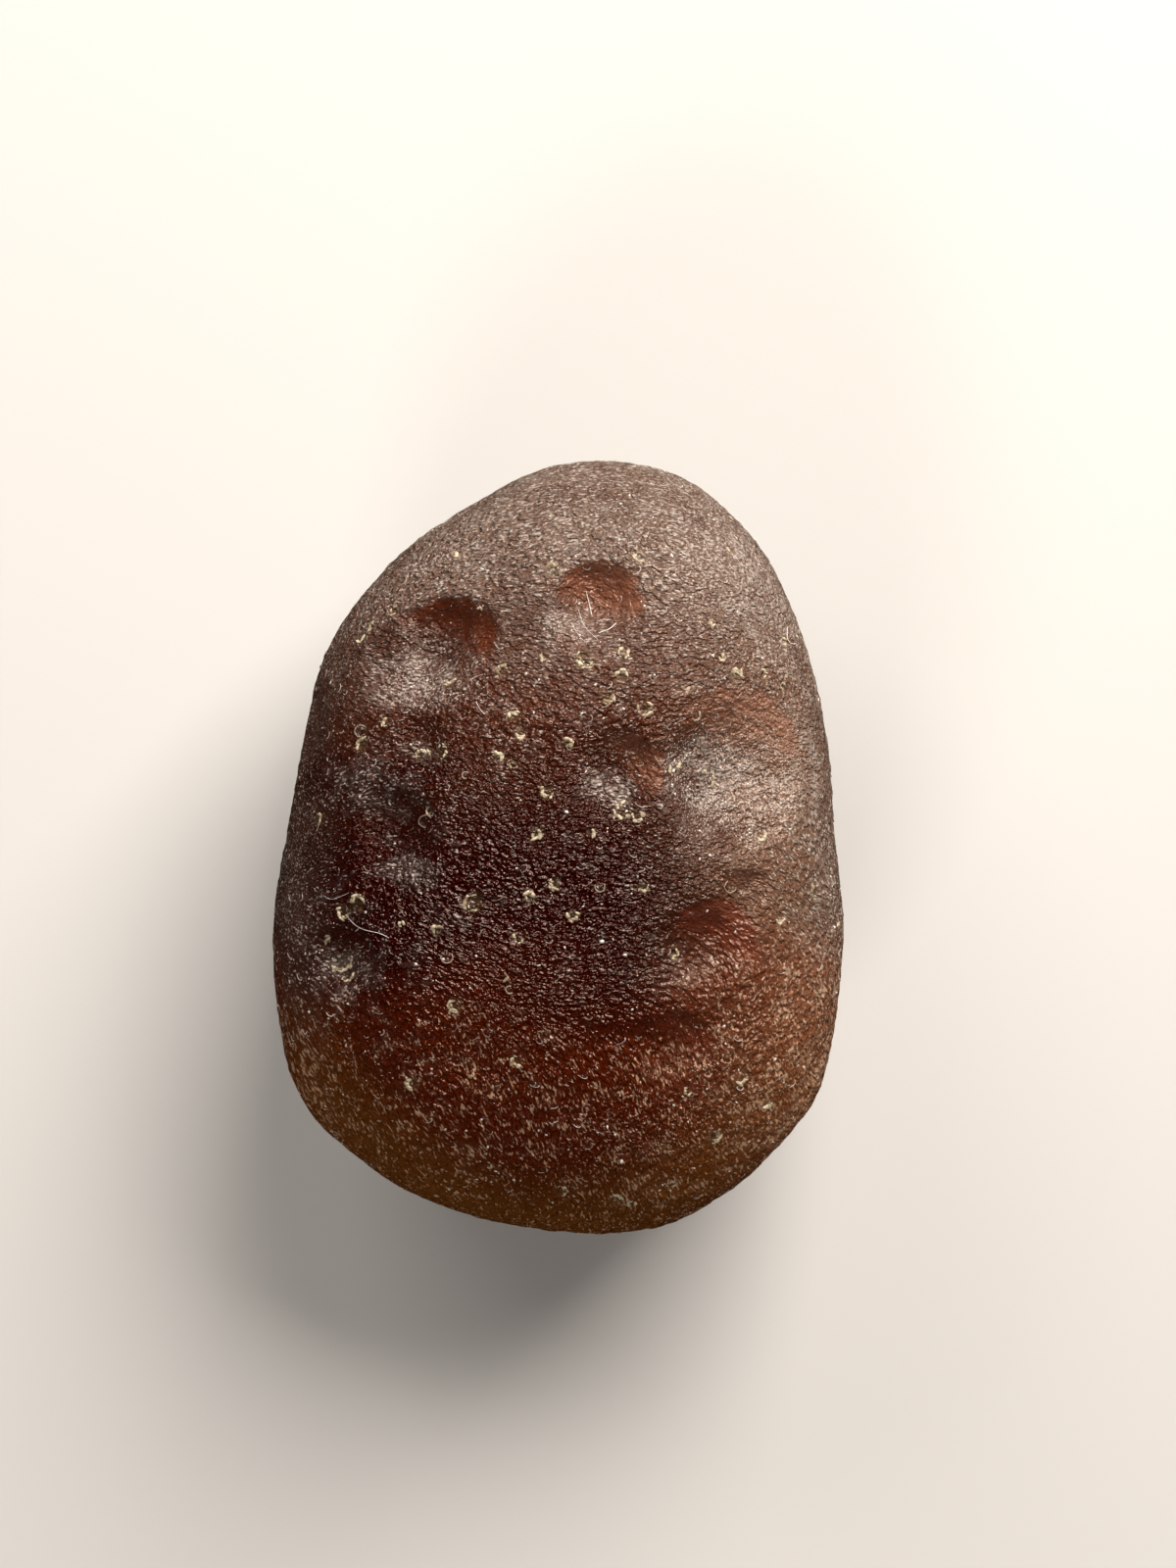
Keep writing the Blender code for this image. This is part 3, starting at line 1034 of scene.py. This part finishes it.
def skinChipsTree():
    bench, given = geometryTree("skinChips", chips["inputs"], [("Seed", "NodeSocketInt")])
    inMm = positionInMm(bench)
    crowding = bench.noise(inMm, chips["clumpSize"], detail=3.0)
    crowding = bench.smooth(crowding, *chips["clumpSpan"], chips["fewest"], 1.0)
    across, along, up = bench.parts(inMm)
    clusters = patchShare(bench, across, along, chips["clusters"])
    clusters = clusters * bench.smooth(up, *chips["clusterUp"]) * chips["clusterGain"]
    crowding = (crowding + clusters) * bench.smooth(up, *chips["lowest"])
    points = strewnPoints(bench, given, crowding)
    turned = turnedBy(bench, points.other("Rotation"), bench.randomVector(chips["tilt"], seed=2))
    grown = bench.random(*chips["lengthDraw"], seed=4)
    grown = grown * grown * bench.random(*chips["lengthGrowth"], seed=6)
    size = bench.xyz(grown, grown * bench.random(*chips["wide"], seed=5), grown * chips["flat"])
    chip = bench.add("GeometryNodeMeshIcoSphere", None, {"Radius": given["Length"], "Subdivisions": 1})
    return endTree(bench, given, copiesOn(bench, points, chip, turned, size))


def buildStrewn(glass, name, tree, values, coat):
    # a piece of small shapes strewn over the skin
    strewn = copyOf(glass, name)
    runTree(strewn, tree, {**values["inputs"], "Seed": values["seed"], "Material": coat})
    finishPiece(strewn)


buildStrewn(glass, "skin_chips", skinChipsTree(), chips, plainMaterial("paleChips", chips))
print("chips strewn on the skin")


# Lips of burst bubbles: small raised arcs that catch the light

lips = {
    "inputs": {
        "Density": 1.6 / mm ** 2,
        "Radius": 0.11 * mm,
        "Thickness": 0.13,       # as a share of the radius
    },
    "seed": 8,
    "clumpSize": 2.0,            # millimetres
    "clumpSpan": (0.35, 0.65),   # the noise's values between which the lips crowd
    "fewest": 0.2,               # as a share of the density
    "lowest": (0.3, 0.5),        # millimetres, no lips below
    "arcStart": -2.6,            # radians
    "arcSweep": 3.0,
    "arcPoints": 8,
    "sectionPoints": 5,
    "tilt": (0.2, 0.2, 0.9),     # radians
    "growth": (0.35, 1.2),       # as a share of the radius
    "long": (0.9, 1.5),          # these three are shares of the growth
    "wide": (0.5, 1.0),
    "high": 0.8,
    "colour": colour(0.50, 0.42, 0.37),
    "dark": colour(0.20, 0.12, 0.09),
    "colourSize": 0.8,
    "roughness": 0.28,
}


def bubbleLipsTree():
    bench, given = geometryTree("bubbleLips", lips["inputs"], [("Seed", "NodeSocketInt")])
    inMm = positionInMm(bench)
    crowding = bench.noise(inMm, lips["clumpSize"])
    crowding = bench.smooth(crowding, *lips["clumpSpan"], lips["fewest"], 1.0)
    crowding = crowding * bench.smooth(bench.parts(inMm)[2], *lips["lowest"])
    points = strewnPoints(bench, given, crowding)
    arc = bench.add("GeometryNodeCurveArc", {"mode": "RADIUS"}, {
        "Resolution": lips["arcPoints"], "Radius": 1.0,
        "Start Angle": lips["arcStart"], "Sweep Angle": lips["arcSweep"]})
    section = bench.add("GeometryNodeCurvePrimitiveCircle", {"mode": "RADIUS"},
                        {"Resolution": lips["sectionPoints"], "Radius": given["Thickness"]})
    lip = bench.add("GeometryNodeCurveToMesh", None,
                    {"Curve": arc, "Profile Curve": section, "Fill Caps": True})
    turned = turnedBy(bench, aligned(bench, points.other("Normal"), (1.0, 0.0, 0.0)),
                      bench.randomVector(lips["tilt"], seed=3))
    grown = given["Radius"] * bench.random(*lips["growth"], seed=4)
    size = bench.xyz(grown * bench.random(*lips["long"], seed=5),
                     grown * bench.random(*lips["wide"], seed=6), grown * lips["high"])
    return endTree(bench, given, copiesOn(bench, points, lip, turned, size))


buildStrewn(glass, "bubble_lips", bubbleLipsTree(), lips, plainMaterial("lipGlass", lips))
print("bubble lips raised")


# Burst bubble rings and lint that the photograph shows, placed by its pixels

rings = {
    "seen": (                    # pixel across and down, radius in pixels
        (434, 838, 6.5), (368, 746, 6.0), (456, 977, 6.0), (475, 791, 3.5), (612, 905, 5.0),
        (745, 905, 6.0), (520, 1010, 4.0),
    ),
    "seed": 4,
    "thickness": 0.016 * mm,
    "points": 18,
    "gap": 2.0,                  # radians of each ring that are missing
    "wobble": (0.92, 1.08),      # shares of the radius
    "colour": colour(0.36, 0.29, 0.22),
    "roughness": 0.30,
}
lint = {
    "seen": (                    # share of the thickness; pixels across and down along each fibre
        (0.65, (353, 933), (358, 940), (366, 946), (376, 950), (389, 952), (397, 957)),
        (0.4, (331, 914), (336, 918), (342, 917), (350, 914), (356, 911)),
        (0.6, (363, 950), (368, 946), (371, 941)),
        (1.0, (598, 604), (600, 612), (602, 620), (604, 629)),
        (1.0, (611, 646), (618, 644), (624, 641), (629, 636)),
        (0.5, (590, 622), (593, 634), (600, 645), (610, 653)),
        (0.4, (583, 636), (589, 649), (599, 658)),
        (0.9, (803, 640), (802, 650), (806, 658), (812, 657)),
        (0.7, (486, 716), (489, 724), (495, 729)),
        (0.6, (692, 560), (697, 566), (704, 568)),
    ),
    "thickness": 0.010 * mm,
    "lift": 0.018 * mm,          # how high a fibre lies above the skin
    "colour": colour(0.86, 0.84, 0.80),
    "roughness": 0.60,
}


def onPixels(surface, camera, pixels, lift=0.0):
    # the skin's places under some pixels of the photograph
    places = []
    for across, down in pixels:
        place, normal = underPixel(surface, camera, across, down)
        places.append(place + normal * lift)
    return places


def buildStrands(name, paths, thickness, material):
    # one piece of thin tubes, each with a share of the thickness and its path
    curve = bpy.data.curves.new(name, "CURVE")
    curve.dimensions = "3D"
    curve.bevel_depth = thickness
    curve.bevel_resolution = 1
    curve.use_fill_caps = True
    curve.resolution_u = 4
    for share, places in paths:
        spline = curve.splines.new("NURBS")
        spline.points.add(len(places) - 1)
        spline.use_endpoint_u = True
        spline.order_u = 3
        for point, place in zip(spline.points, places):
            point.co = (*place, 1)
            point.radius = share
    holder = newPiece(name, curve)
    mesh = evaluatedMesh(holder)
    bpy.data.objects.remove(holder)
    mesh.materials.clear()
    mesh.materials.append(material)
    mesh.shade_smooth()
    finishPiece(newPiece(name, mesh))


def buildRings(surface, camera):
    chance = random.Random(rings["seed"])
    step = (2 * math.pi - rings["gap"]) / (rings["points"] - 1)
    circles = []
    for across, down, radius in rings["seen"]:
        start = chance.uniform(0, 2 * math.pi)
        pixels = []
        for count in range(rings["points"]):
            angle = start + count * step
            reach = radius * chance.uniform(*rings["wobble"])
            pixels.append((across + reach * math.cos(angle), down + reach * math.sin(angle)))
        circles.append((1.0, onPixels(surface, camera, pixels)))
    buildStrands("bubble_rings", circles, rings["thickness"], plainMaterial("ringGlass", rings))


def buildLint(surface, camera):
    fibres = []
    for share, *pixels in lint["seen"]:
        fibres.append((share, onPixels(surface, camera, pixels, lint["lift"])))
    buildStrands("lint", fibres, lint["thickness"], plainMaterial("whiteLint", lint))


surface = BVHTree.FromObject(glass, bpy.context.evaluated_depsgraph_get())
buildRings(surface, camera)
buildLint(surface, camera)
bpy.data.objects.remove(spots)
print("rings and lint laid")
